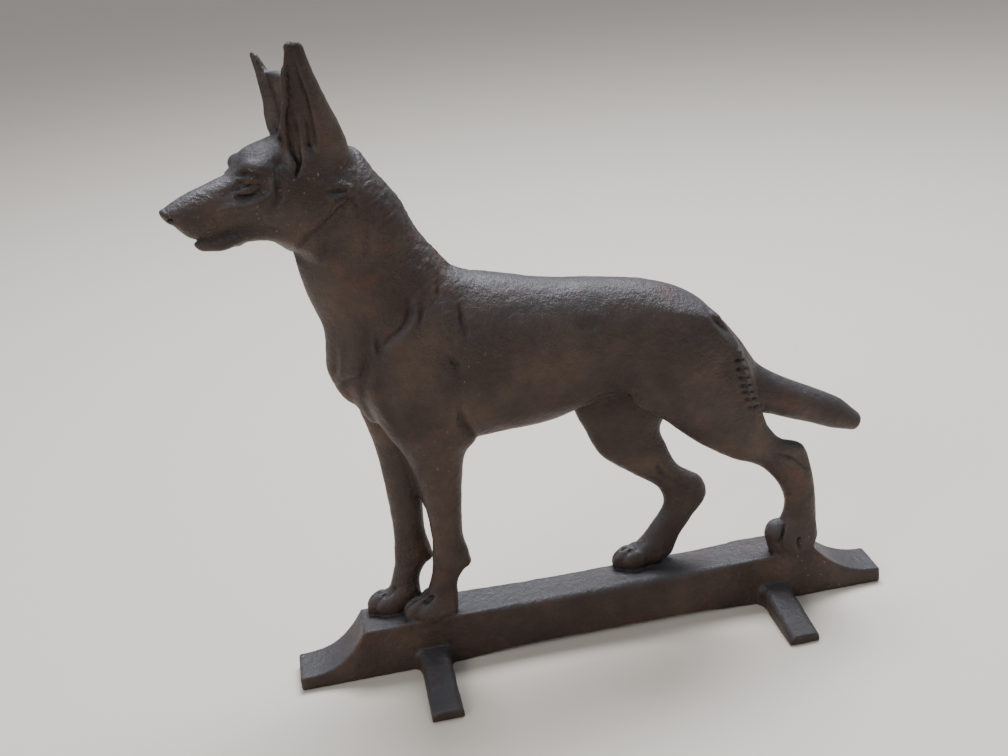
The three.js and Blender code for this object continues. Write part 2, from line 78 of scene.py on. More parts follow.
class Field:
    """A signed distance field on a grid: masses are blended in, hollows and creases are cut."""

    def __init__(self, low, high):
        self.start = np.floor(np.array(low) / VOXEL).astype(int)
        size = np.ceil(np.array(high) / VOXEL).astype(int) - self.start
        self.a = np.full(size, BAND, np.float32)

    def room(self, low, high):
        """The cells between two corners: the slices, and the first cell's index."""
        lo = np.maximum(np.floor(np.array(low) / VOXEL).astype(int) - self.start, 0)
        hi = np.minimum(np.ceil(np.array(high) / VOXEL).astype(int) - self.start, self.a.shape)
        return tuple(slice(a, b) for a, b in zip(lo, hi)), lo + self.start

    def axes(self, cells, first):
        return [
            ((np.arange(s.stop - s.start) + f) * VOXEL).reshape([-1 if k == j else 1 for k in range(3)])
            for j, (s, f) in enumerate(zip(cells, first))
        ]

    def join(self, cells, distance, k, cut=False):
        here = self.a[cells]
        if cut:
            self.a[cells] = -smooth_min(-here, distance, k)
        else:
            self.a[cells] = smooth_min(here, distance, k)

    def mass(self, shape, k=3.0, cut=False):
        """Blends in, or cuts away, a closed mesh (points, triangles)."""
        points, tris = shape
        cells, first = self.room(points.min(0) - BAND, points.max(0) + BAND)
        grid = vdb.FloatGrid.createLevelSetFromPolygons(
            points.astype(np.float32),
            triangles=tris.astype(np.uint32),
            transform=vdb.createLinearTransform(VOXEL),
            halfWidth=BAND / VOXEL,
        )
        distance = np.zeros([s.stop - s.start for s in cells], np.float32)
        grid.copyToArray(distance, ijk=tuple(int(i) for i in first))
        self.join(cells, distance, k, cut)

    def egg(self, centre, radii, pitch=0.0, yaw=0.0, k=2.0, cut=False, turned=False):
        """An ellipsoid; pitch lifts its front end (towards -X), yaw swings it towards -Y."""
        centre, radii = np.array(centre, float), np.array(radii, float)
        spin = np.array(Matrix.Rotation(yaw, 3, "Z") @ Matrix.Rotation(pitch, 3, "Y"))
        if turned:
            centre, spin = turn_head(centre[None])[0], HEAD_SPIN @ spin
        reach = radii.max() + 2 * k + 1
        cells, first = self.room(centre - reach, centre + reach)
        x, y, z = self.axes(cells, first)
        d = [x - centre[0], y - centre[1], z - centre[2]]
        local = [sum(spin[j, i] * d[j] for j in range(3)) / radii[i] for i in range(3)]
        k0 = np.sqrt(sum(c * c for c in local))
        k1 = np.sqrt(sum((c / r) ** 2 for c, r in zip(local, radii)))
        distance = (k0 * (k0 - 1) / np.maximum(k1, 1e-6)).astype(np.float32)
        self.join(cells, distance, k, cut)

    def cord(self, points, radii, k=1.0, cut=False, turned=False):
        """A tapering round bead or groove along a line of 3-D points."""
        points = np.array(points, float)
        if turned:
            points = turn_head(points)
        radii = np.broadcast_to(np.array(radii, float), len(points))
        reach = radii.max() + 2 * k + 1
        cells, first = self.room(points.min(0) - reach, points.max(0) + reach)
        x, y, z = self.axes(cells, first)
        best = None
        for a, b, ra, rb in zip(points[:-1], points[1:], radii[:-1], radii[1:]):
            ab = b - a
            t = ((x - a[0]) * ab[0] + (y - a[1]) * ab[1] + (z - a[2]) * ab[2]) / (ab @ ab)
            t = np.clip(t, 0, 1)
            gaps = [c - a[j] - t * ab[j] for j, c in enumerate((x, y, z))]
            d = np.sqrt(gaps[0] ** 2 + gaps[1] ** 2 + gaps[2] ** 2) - (ra + (rb - ra) * t)
            best = d if best is None else np.minimum(best, d)
        self.join(cells, best.astype(np.float32), k, cut)

    def crease(self, line, width, depth, sides):
        """Sinks (depth > 0) or lifts the flanks along a line drawn in the side view, [x, z]."""
        line = np.array(line, float)
        pad = 3 * width
        for side in sides:
            y0, y1 = sorted((0.0, side * FLANK_REACH))
            low = [line[:, 0].min() - pad, y0, line[:, 1].min() - pad]
            high = [line[:, 0].max() + pad, y1, line[:, 1].max() + pad]
            cells, first = self.room(low, high)
            x, _, z = self.axes(cells, first)
            best = None
            steps = np.hypot(*np.diff(line, axis=0).T)
            run = np.concatenate([[0], np.cumsum(steps)])
            for i in range(len(line) - 1):
                a, ab = line[i], line[i + 1] - line[i]
                t = np.clip(((x - a[0]) * ab[0] + (z - a[1]) * ab[1]) / (ab @ ab), 0, 1)
                d = np.hypot(x - a[0] - t * ab[0], z - a[1] - t * ab[1])
                along = (run[i] + t * steps[i]) / run[-1]
                fade = np.sqrt(np.clip(np.sin(np.pi * np.clip(along, 0.04, 0.96)), 0, 1))
                push = fade * np.exp(-((d / width) ** 2))
                best = push if best is None else np.maximum(best, push)
            self.a[cells] += (depth * best).astype(np.float32)

    def mesh(self):
        grid = vdb.FloatGrid(BAND)
        grid.copyFromArray(self.a, ijk=tuple(int(i) for i in self.start))
        grid.transform = vdb.createLinearTransform(VOXEL)
        grid.gridClass = vdb.GridClass.LEVEL_SET
        points, tris, quads = grid.convertToPolygons(0.0, 0.0)
        points = np.asarray(points, float)
        tris, quads = np.asarray(tris, int), np.asarray(quads, int)
        faces = np.concatenate([tris.reshape(-1, 3), quads[:, [0, 1, 2]], quads[:, [0, 2, 3]]])
        return points, faces[:, ::-1]


HEAD_SPIN = np.array(Matrix.Rotation(HEAD_TURN, 3, "Z"))


def turn_head(points):
    pivot = np.array([HEAD_PIVOT_X, 0, 0])
    return (points - pivot) @ HEAD_SPIN.T + pivot


# ------------------------------------------------------------------ lofted masses

def smooth(knots, values, t):
    """A smooth run through values given at uneven knots."""
    slope = np.array([
        (values[min(k + 1, len(values) - 1)] - values[max(k - 1, 0)])
        / (knots[min(k + 1, len(values) - 1)] - knots[max(k - 1, 0)])
        for k in range(len(values))
    ])
    i = np.clip(np.searchsorted(knots, t, side="right") - 1, 0, len(knots) - 2)
    span = knots[i + 1] - knots[i]
    s = (t - knots[i]) / span
    s2, s3 = s * s, s * s * s
    return (
        (2 * s3 - 3 * s2 + 1) * values[i]
        + (s3 - 2 * s2 + s) * span * slope[i]
        + (3 * s2 - 2 * s3) * values[i + 1]
        + (s3 - s2) * span * slope[i + 1]
    )


def loft(sections, caps=(1.0, 1.0), square=2.0, keel=0.0, around=56):
    """The same rounded mass as the part's: sections of (fore, aft, half-thickness, side)."""
    fore = np.array([s[0] for s in sections], float)
    aft = np.array([s[1] for s in sections], float)
    half = np.array([s[2] for s in sections], float)
    side = np.array([s[3] if len(s) > 3 else 0 for s in sections], float)
    mid = (fore + aft) / 2
    steps = np.sqrt(np.hypot(*np.diff(mid, axis=0).T) + 0.5)
    knots = np.concatenate([[0], np.cumsum(steps)])
    last = knots[-1]
    columns = [fore[:, 0], fore[:, 1], aft[:, 0], aft[:, 1], side, half]

    def at(t):
        fx, fz, ax, az, y, h = (smooth(knots, c, np.atleast_1d(t)) for c in columns)
        middle = np.stack([(fx + ax) / 2, y, (fz + az) / 2], 1)
        reach = np.stack([(fx - ax) / 2, 0 * y, (fz - az) / 2], 1)
        return middle, reach, h

    def cap(t, inner, length, flip):
        m, r, h = at(t)
        out = m[0] - at(inner)[0][0]
        out /= np.linalg.norm(out)
        bulge = length * min(np.linalg.norm(r[0]), h[0])
        turns = np.linspace(0, math.pi / 2, 10)[1:]
        if flip:
            turns = turns[::-1]
        c, s = np.cos(turns)[:, None], np.sin(turns)[:, None]
        return m + out * bulge * s, r * c, h * c[:, 0]

    rings = int(np.hypot(*np.diff(mid, axis=0).T).sum() / 1.6) + 8
    groups = [
        cap(0, last * 0.02, caps[0], True),
        at(np.linspace(0, last, rings)),
        cap(last, last * 0.98, caps[1], False),
    ]
    middle, reach, h = (np.concatenate([g[i] for g in groups]) for i in range(3))
    turn = np.linspace(0, 2 * math.pi, around, endpoint=False)
    bend = lambda v: np.sign(v) * np.abs(v) ** (2 / square)
    along = bend(np.cos(turn))
    across = bend(np.sin(turn)) * (1 + keel * along)
    points = middle[:, None] + reach[:, None] * along[None, :, None]
    points[:, :, 1] += h[:, None] * across[None]
    n = len(middle)
    points = points.reshape(-1, 3)
    row, column = np.meshgrid(np.arange(n - 1), np.arange(around), indexing="ij")
    a = row * around + column
    b = row * around + (column + 1) % around
    quads = np.stack([a, b, b + around, a + around], -1).reshape(-1, 4)
    tris = np.concatenate([quads[:, :3], quads[:, [0, 2, 3]]])
    first = np.arange(around)
    ends = []
    for start, flip in ((0, True), ((n - 1) * around, False)):
        ring = start + first
        hub = len(points)
        points = np.vstack([points, points[ring].mean(0)])
        nxt = np.roll(ring, -1)
        fan = np.stack([np.full(around, hub), nxt if flip else ring, ring if flip else nxt], 1)
        ends.append(fan)
    return points, np.concatenate([tris, *ends])


def turned(shape):
    return turn_head(shape[0]), shape[1]


def leg_side(sections, side):
    """Sections whose last number is a distance out from the middle, put on one side."""
    return [(f, a, h, side * y) for f, a, h, y in sections]


# ------------------------------------------------------------------ the dog's masses

TRUNK = [
    ((-133, 196), (-124, 172), 8.5),
    ((-124, 222), (-115, 158), 16.5),
    ((-100, 236), (-98, 146), 22.5),
    ((-74, 237), (-72, 140), 25.5),
    ((-46, 231.8), (-46, 140.8), 26),
    ((-16, 224), (-20, 142.5), 25.2),
    ((14, 219.5), (6, 149), 22.8),
    ((42, 213.8), (34, 152), 21.8),
    ((66, 202.5), (56, 148), 20.5),
    ((84, 183), (72, 140), 17),
    ((97, 162), (84, 134), 11.5),
]
NECK = [
    ((-118, 160), (-62, 190), 18),
    ((-134.5, 190), (-57, 224), 21),
    ((-135, 214), (-67.5, 242.3), 20.5),
    ((-141, 236), (-80, 260.3), 19.5, -0.5),
    ((-144, 254), (-88.8, 280.5), 19, -1.5),
    ((-149, 270), (-100.2, 296), 19, -3),
    ((-146, 290), (-109.5, 302.5), 17, -4),
]
SKULL = [
    ((-206.5, 296.5), (-203.5, 288.5), 4.8),
    ((-200, 299.5), (-197, 281), 7.3),
    ((-191, 302.2), (-189.5, 278.3), 8.2),
    ((-181, 304.5), (-179, 278.5), 9.2),
    ((-172, 307), (-169, 278), 11.5),
    ((-163, 315.5), (-159, 274.5), 16.5),
    ((-150, 319), (-148, 267), 20),
    ((-136, 320.5), (-136, 261), 20.5),
    ((-120, 316.5), (-122, 262), 18.5),
    ((-109, 307), (-112, 272), 14),
]
JAW = [
    ((-193.5, 277.5), (-190.5, 272.5), 4.6),
    ((-185, 279.5), (-182, 270.8), 6.6),
    ((-173, 281), (-171, 272.2), 8),
    ((-161, 283), (-158, 269.8), 11),
    ((-150, 284), (-147, 261), 14),
    ((-138, 286), (-137, 252), 14.5),
]
TAIL = [
    ((76, 189), (68, 160), 9),
    ((91, 172.5), (88, 140), 10),
    ((102, 156), (100, 126), 10),
    ((117, 144.5), (112, 121), 9.6),
    ((137, 133.5), (128, 114.5), 8.8),
    ((154, 123.5), (147, 106.5), 7.6),
    ((165.5, 112.5), (160, 102.5), 6),
]
HIND_NEAR = [
    ((34, 204), (78, 190), 8, 11),
    ((20, 176), (89.5, 170), 11, 12),
    ((26, 149.5), (98, 147), 11.5, 11.5),
    ((44, 134), (102.5, 128), 10.5, 10.5),
    ((62, 117), (107, 117), 8.6, 9),
    ((83, 102), (115, 108), 7.2, 8),
    ((102, 92), (128.5, 101), 6.6, 7),
    ((113, 78.5), (133.5, 85), 6.6, 7),
    ((117.2, 66), (136, 69), 6, 7),
    ((115, 55), (136.8, 55), 6.2, 7),
    ((110, 44), (137.5, 42), 6.4, 7),
    ((108, 33), (136, 32), 6.2, 7),
]
HIND_FAR = [
    ((30, 202), (74, 190), 8, 11),
    ((2, 166), (78, 160), 11.5, 12),
    ((-2.5, 142), (62, 140), 11, 11.5),
    ((3.2, 125), (48, 121), 9.5, 10),
    ((11, 108.5), (50.5, 108), 8, 8.5),
    ((28, 94.5), (57, 94), 7, 7.5),
    ((44, 81.5), (70.5, 83.5), 6.5, 7),
    ((46.8, 69.5), (73, 71.5), 6.4, 7),
    ((39.5, 58), (63.5, 58.5), 6, 7),
    ((31, 47), (56, 48), 6.2, 7),
    ((25, 35), (51, 36), 6.2, 7),
]


def foreleg(side):
    s = 0 if side < 0 else STRIDE
    return leg_side([
        ((-108 + s * 0.2, 214), (-72 + s * 0.2, 218), 8, 11),
        ((-121 + s * 0.3, 184), (-60 + s * 0.3, 182), 10.5, 13),
        ((-113 + s * 0.45, 158), (-62 + s * 0.6, 146), 10.3, 12.3),
        ((-103 + s * 0.72, 139), (-69.5 + s, 134), 9.2, 10),
        ((-96.3 + s * 0.92, 115), (-73 + s, 114), 7.6, 8),
        ((-93.3 + s, 84), (-75.5 + s, 84), 6.6, LEG),
        ((-94.3 + s, 71), (-74.2 + s, 70), 6.8, LEG),
        ((-95.2 + s, 62), (-76.5 + s, 61), 6.5, LEG),
        ((-97.5 + s, 54), (-81 + s, 54), 6.2, LEG),
        ((-101 + s, 44), (-83 + s, 44), 6.2, LEG),
        ((-103 + s, 34), (-85 + s, 34), 6, LEG),
    ], side)


def ear_stance(side):
    """How far an ear is moved back, how its tip leans, and how its tip's height differs."""
    return (0, 0, 1) if side < 0 else (4.5, -3.5, -6)


def ear_shell(side):
    front, lean, tip = ear_stance(side)
    return leg_side([
        ((-147 + front, 297), (-114, 294), 6, 9),
        ((-148 + front, 309), (-114, 307), 8.2, 12),
        ((-148 + front, 322), (-118, 321), 8.4, 14.5),
        ((-147 + front + lean * 0.3, 335 + tip * 0.4), (-124.4 + lean * 0.4, 334 + tip * 0.4), 7, 17.5),
        ((-146.2 + front + lean * 0.7, 348 + tip * 0.8), (-129.8 + lean, 347 + tip * 0.8), 5.2, 20),
        ((-144 + front + lean, 360 + tip), (-134 + lean * 1.4, 359 + tip), 3.2, 22),
    ], side)


def ear_hollow(side):
    front, lean, tip = ear_stance(side)
    return leg_side([
        ((-156 + front, 311), (-133.5, 308), 5, 18.5),
        ((-156 + front, 332 + tip * 0.4), (-135, 330 + tip * 0.4), 5, 21.5),
        ((-154 + front, 347 + tip * 0.8), (-138, 346 + tip * 0.8), 3.8, 22.5),
        ((-150 + front + lean, 359 + tip), (-140.5 + lean, 358 + tip), 2.2, 23.5),
    ], side)


# ------------------------------------------------------------------ bar and feet

def bar_top(x):
    """Flat between the shoulders, then a hollow curve down to each end."""
    front = (BAR_SHOULDERS[0] - x) / (BAR_SHOULDERS[0] - BAR_ENDS[0])
    rear = (x - BAR_SHOULDERS[1]) / (BAR_ENDS[1] - BAR_SHOULDERS[1])
    if front > 0:
        return BAR_TIPS[0] + (BAR_TOP - BAR_TIPS[0]) * (1 - front) ** 2.9
    if rear > 0:
        return BAR_TIPS[1] + (BAR_TOP - BAR_TIPS[1]) * (1 - rear) ** 2.3
    return BAR_TOP


def bar_bottom(x):
    """The underside rises between the feet."""
    inside = min(x - FOOT_X[0], FOOT_X[1] - x) - 18.2
    return 3 * math.sin(min(max(inside / 45, 0), 1) * math.pi / 2)


def bar_edge(x):
    """The rounding of the top edges, larger along the middle."""
    t = min(max(min(x + 85, 105 - x) / 50, 0), 1)
    return 1.3 + 2.9 * t * t * (3 - 2 * t)


def bar_distance(field):
    """The bar as a rounded box whose height and edge change along x."""
    cells, first = field.room((-185, -18, -6), (183, 18, 40))
    x, y, z = field.axes(cells, first)
    xs = x.ravel()
    ends = np.clip(xs, *BAR_ENDS)
    top = np.array([bar_top(v) for v in ends]).reshape(x.shape)
    bottom = np.array([bar_bottom(v) for v in ends]).reshape(x.shape)
    edge = np.array([bar_edge(v) for v in ends]).reshape(x.shape)
    low = 1.3
    slope = np.gradient(top.ravel(), VOXEL).reshape(x.shape)
    squash = 1 / np.sqrt(1 + slope * slope)
    upper = (z - top) * squash
    lower = bottom - z
    flank = np.abs(y) - BAR_HALF
    end = np.maximum(BAR_ENDS[0] - x, x - BAR_ENDS[1])

    def corner(a, b, r):
        a2, b2 = a + r, b + r
        return np.minimum(np.maximum(a2, b2), 0) + np.hypot(np.maximum(a2, 0), np.maximum(b2, 0)) - r

    d = corner(upper, flank, edge)
    d = np.maximum(d, corner(lower, flank, low))
    d = np.maximum(d, corner(end, upper, 2.0))
    d = np.maximum(d, corner(end, lower, 2.0))
    d = np.maximum(d, corner(end + 0 * z, flank + 0 * z, 1.5))
    field.join(cells, d.astype(np.float32), 0.5)


def foot_distance(field, x0, direction, reach):
    """A cross foot: a bevelled finger that thins and widens a little to its tip."""
    y_far = direction * reach
    low = (x0 - 22, min(0, y_far) - 6, -6)
    high = (x0 + 22, max(0, y_far) + 6, 24)
    cells, first = field.room(low, high)
    x, y, z = field.axes(cells, first)
    out = direction * y
    share = np.clip((out - FOOT_ROOT) / (reach - FOOT_ROOT), 0, 1)
    half = 8.5 + 0.6 * share + 7 * np.clip(1 - (out - FOOT_ROOT) / 14, 0, 1) ** 2
    top = FOOT_HEIGHTS[0] + (FOOT_HEIGHTS[1] - FOOT_HEIGHTS[0]) * share
    sx, sz = np.abs(x - x0) - half, z - top
    bevel = (sx + sz + 2.6) / math.sqrt(2)
    soft = smooth_min(-np.maximum(sx, sz), -bevel, 1.2)
    d = np.maximum(-soft, -z)
    d = -smooth_min(-d, reach - out, 1.4)
    field.join(cells, d.astype(np.float32), 1.6)


# ------------------------------------------------------------------ paws

TOES = (  # out from the paw's middle, how far back the tip stands, size
    (-5.2, 7.0, 1.0),
    (-1.8, 0.6, 1.12),
    (1.9, 0.2, 1.12),
    (5.2, 4.8, 1.0),
)


def paw(field, x, side):
    """A paw flat on the bar: a rounded back and four thick toes, parted by grooves."""
    y = side * LEG
    field.mass(loft([
        ((x + 5, BAR_TOP + 12), (x + 5, BAR_TOP - 2), 6.2, y),
        ((x + 12, BAR_TOP + 16), (x + 12, BAR_TOP - 2), 6.8, y),
        ((x + 21, BAR_TOP + 19), (x + 21, BAR_TOP - 2), 6.4, y),
    ], caps=(0.7, 0.6), square=2.4), k=2.5)
    tips = [(y - side * out, back) for out, back, _ in TOES]
    for (yt, back), (_, _, size) in zip(tips, TOES):
        radii = (8.6 * size, 2.9 * size, 6.6 * size)
        field.egg((x + back + 1.8, yt, BAR_TOP + 5.2), radii, -0.45, 0, 0.5)
    for (ya, ba), (yb, bb) in zip(tips[:-1], tips[1:]):
        ym, back = (ya + yb) / 2, max(ba, bb)
        line = [(x + back - 1, ym, BAR_TOP + 11.8), (x + back + 7, ym, BAR_TOP + 16)]
        field.cord(line, [1.4, 0.6], k=1.4, cut=True)


def near_hind_paw(field):
    """The near hind paw: a heavy rounded one on the bar's near edge, its toes folded under."""
    field.egg((121, -8, 40.5), (15.5, 7.2, 12.5), 0, 0, 3)
    field.egg((112.6, -7.2, 45.5), (8, 6.8, 8.6), 0.3, 0, 1.0)
    field.egg((129.5, -8.4, 41), (7.2, 5.6, 7), 0, 0, 1.4)
    field.cord([(115.6, -11.6, 51.5), (113.2, -12.6, 47), (111.6, -13.6, 42), (112.6, -14.2, 37)],
               [0.7, 1.2, 1.2, 0.8], 0.9, cut=True)
    field.cord([(124.2, -13, 45.5), (122.6, -14.6, 40.5), (123.6, -14.6, 35)],
               [0.6, 1.0, 0.7], 0.9, cut=True)
    field.cord([(107.4, -5.4, 52), (105.8, -4.6, 46), (106.4, -4.4, 40)],
               [0.6, 1.0, 0.8], 0.8, cut=True)


# ------------------------------------------------------------------ put together

def build_dog():
    """The bar and the dog on grids of their own, blended at the end."""
    field = Field(LOW, HIGH)
    dog = Field(DOG_LOW, HIGH)
    dog.mass(loft(TRUNK, (0.6, 0.7), 2.15, -0.04, 72), 6)
    dog.mass(loft(NECK, (0.5, 0.4), 2, -0.1, 72), 7)
    dog.mass(turned(loft(SKULL, (0.7, 0.7), 2.2, -0.06, 64)), 4)
    dog.mass(turned(loft(JAW, (0.8, 0.5))), 2.5)
    dog.cord([(-190, 0, 278.6), (-184, 0, 278), (-174, 0, 277)], [2.6, 4.4, 6.2], 1.0, turned=True)
    head_masses(dog)
    head_details(dog)
    for side in (-1, 1):
        dog.mass(loft(foreleg(side), (0.6, 0.2)), 5 if side < 0 else 3.5)
    dog.mass(loft(leg_side(HIND_FAR, 1), (0.6, 0.1)), 4)
    dog.mass(loft(leg_side(HIND_NEAR, -1), (0.6, 0.1)), 5)
    dog.mass(loft(TAIL, (0.4, 0.6)), 3.5)
    body_details(dog)
    paw(dog, -107.5, -1)
    paw(dog, -127.7, 1)
    near_hind_paw(dog)
    paw(dog, 20.5, 1)
    bar_distance(field)
    foot_distance(field, FOOT_X[0], -1, 63.5)
    foot_distance(field, FOOT_X[1], -1, 58)
    for x0 in FOOT_X:
        foot_distance(field, x0, 1, 52)
    for line in ([(-119, -11.5, 31.2), (-104, -11.6, 31.4), (-84, -11.4, 31.2), (-62, -10.8, 30.4)],
                 [(92, -11, 30.6), (106, -11.6, 31.2), (126, -11.5, 31)]):
        field.cord(line, 1.25, 1.0)
    cells, _ = field.room(DOG_LOW, HIGH)
    here = field.a[cells]
    other = dog.a[: here.shape[0], : here.shape[1], : here.shape[2]]
    field.a[cells] = smooth_min(here, other, 1.6)
    return field


def head_masses(dog):
    for side in (-1, 1):
        dog.egg((-162, side * 9.4, 308), (9, 4.4, 3.6), -0.3, side * 0.3, 3, turned=True)
        dog.egg((-160, side * 12, 291.5), (14, 4.6, 4.6), 0.08, side * 0.25, 3.5, turned=True)
        dog.egg((-168.6, side * 13.2, 300.6), (6.6, 3.6, 3.8), -0.3, side * 0.5, 2.5, cut=True, turned=True)
        dog.egg((-167, side * 10.6, 300.8), (5, 3.4, 3.2), -0.1, side * 0.6, 0.8, turned=True)
        dog.mass(turned(loft(ear_shell(side), (0.3, 1.5))), 3)
    dog.mass(turned(loft([
        ((-140, 308), (-124, 308), 15),
        ((-139, 328), (-129, 328), 16),
        ((-140, 346), (-133, 346), 18),
    ], (0.2, 0.6), 3)), 2.5)
    for side in (-1, 1):
        dog.mass(turned(loft(ear_hollow(side), (0.6, 0.8))), 3, cut=True)
        dog.egg((-142, side * 15.6, 306.5), (7, 3.6, 7), 0, side * 0.3, 4, turned=True)
        dog.egg((-133.5, side * 17.2, 306), (6, 3, 8), 0, 0, 4, turned=True)


def mirrored(points, side):
    """Points drawn on the near side (y < 0), carried over to the far one where side is +1."""
    return [(x, -side * y, z) for x, y, z in points]


def head_details(dog):
    dog.cord([(-137, 4, 342), (-137, -6, 345), (-137.5, -14, 351), (-138.5, -18, 357)], 2.8, 3, turned=True)
    for side in (-1, 1):
        bead = lambda line, r, k=1.5: dog.cord(mirrored(line, side), r, k, turned=True)
        groove = lambda line, r, k=1.2: dog.cord(mirrored(line, side), r, k, cut=True, turned=True)
        shift = 0 if side < 0 else 4.5
        drop = 0 if side < 0 else -6
        ear_parts(bead, groove, shift, drop)
        eye_parts(bead, groove)
        groove([(-193, -5, 278), (-188.5, -5.9, 277.9), (-185.7, -6.6, 278.2), (-182.5, -7.4, 279.1),
                (-179, -8.2, 279.4), (-175.7, -9.4, 279.2), (-172.8, -10.6, 278.2), (-170, -11.8, 276.2)],
               [1.3, 1.4, 1.5, 1.7, 1.7, 1.5, 1.2, 0.8], 0.6)
        groove([(-203.5, -5.6, 290.2), (-200.5, -7.2, 292.5), (-198.6, -6.8, 295.6)], [0.5, 0.7, 0.3], 1)
        dog.egg((-205, side * 3.6, 291.8), (1.6, 1.4, 1.1), 0, 0, 0.6, cut=True, turned=True)
        groove([(-144.5, -3, 256.8), (-146.1, -10.8, 262.5), (-141.3, -15.8, 269.5), (-132.4, -19.6, 275.3),
                (-126.9, -20.4, 279.3), (-123.5, -21.4, 285)], [1.6, 1.8, 1.3, 1.1, 1.1, 0.6], 6)
        groove([(-146.5, -5, 260.5), (-144.4, -6.5, 257)], [1, 1.2], 1)
        if side < 0:
            bead([(-133.4, -19.4, 298), (-126.5, -19, 296.9)], [1.7, 1.3])
            bead([(-129.8, -19.6, 294.6), (-122.1, -20.2, 293.4)], [1.8, 1.4])
            bead([(-130.7, -19.8, 289.6), (-125.3, -20.2, 289.4), (-119.8, -20.6, 291.8)], [1.5, 1.8, 1.3])
            bead([(-128.8, -19.6, 284.8), (-123.5, -20.4, 286.4)], [1.2, 1.4])
            groove([(-131.6, -20.8, 292.2), (-122, -21.4, 290.9)], [0.7, 0.9])
            groove([(-128, -21.2, 287), (-121, -21.8, 288.4)], [0.6, 0.8])
            groove([(-119.4, -21.6, 286.4), (-118.2, -22, 282)], [1.3, 0.8], 1.5)


def ear_parts(bead, groove, shift, drop):
    move = lambda line: [(x + shift, y, z + drop * (z - 300) / 60) for x, y, z in line]
    bead(move([(-143.8, -19, 352), (-144.6, -18.6, 347), (-144.6, -17.6, 341), (-144.8, -17, 336),
               (-146.2, -16, 330.5), (-147, -12.5, 323.5), (-145.4, -6, 319.5), (-143.6, 0, 318)]),
         [1.2, 1.4, 1.4, 1.5, 1.5, 1.6, 1.5, 1])
    bead(move([(-138.4, -16.6, 331), (-138, -16, 324), (-138.7, -15.4, 318), (-138.6, -15.4, 312),
               (-140, -15.6, 307)]), [0.8, 2, 2.4, 2.4, 1.4], 3.5)
    groove(move([(-143.4, -17.6, 334), (-143.2, -16.4, 324), (-143.4, -15.6, 316.6), (-142.6, -17, 308.5),
                 (-145.5, -18.4, 303)]), [1.4, 2.6, 2.4, 1.5, 0.6], 1.6)
    groove(move([(-140.4, -25, 357), (-139.8, -25.2, 352), (-138.6, -24.8, 343.7), (-137.2, -22, 338),
                 (-136.2, -20.6, 330), (-135.6, -19.6, 322), (-136.2, -18, 315.5)]),
           [0.6, 1, 1.1, 1.2, 1.3, 1.4, 0.7], 0.8)


def eye_parts(bead, groove):
    bead([(-163.8, -2, 309.4), (-164.6, -9.6, 309.8), (-161.6, -12.6, 308.6), (-157, -14.2, 307)],
         [1.6, 2.6, 2.2, 1.4], 3)
    groove([(-170.6, -6.6, 306.6), (-166.2, -13.4, 306.8), (-161, -15.8, 305.4)], [1, 1.3, 0.6], 2)
    groove([(-179, -9.2, 299.6), (-174.2, -9.8, 300.8), (-172, -9.6, 303)], [1.6, 1.9, 1.2], 2.2)
    bead([(-170.6, -8.6, 304.8), (-166.6, -12, 305.2), (-162.6, -14.6, 303)], [0.8, 1.2, 0.9], 1)
    bead([(-173, -9.2, 298.8), (-170.2, -11.6, 299), (-167.2, -13.2, 299.2), (-163.8, -14.4, 300.2)],
         [1, 1.3, 1.3, 0.9], 1)
    groove([(-172, -9.4, 303.2), (-169.4, -11.4, 301.7), (-166.4, -13.6, 302), (-163.6, -15, 301.9)],
           [1, 0.8, 0.7, 0.4], 0.6)
    bead([(-182, -8.4, 292), (-175.4, -9.8, 292.2), (-170.2, -12.2, 292.4), (-165.6, -14.8, 293.4),
          (-160.7, -16.2, 294.9), (-157.8, -17.2, 298.4), (-157, -17, 302)],
         [1.2, 2, 2.3, 2.4, 2.2, 1.8, 1], 2.5)
    groove([(-164.8, -16.2, 298), (-161.6, -17.4, 299.6)], [1.3, 1.2], 2)
    groove([(-155, -18.6, 301), (-155.4, -18.8, 294), (-160, -17.4, 288.6)], [0.8, 1, 0.8], 2.5)


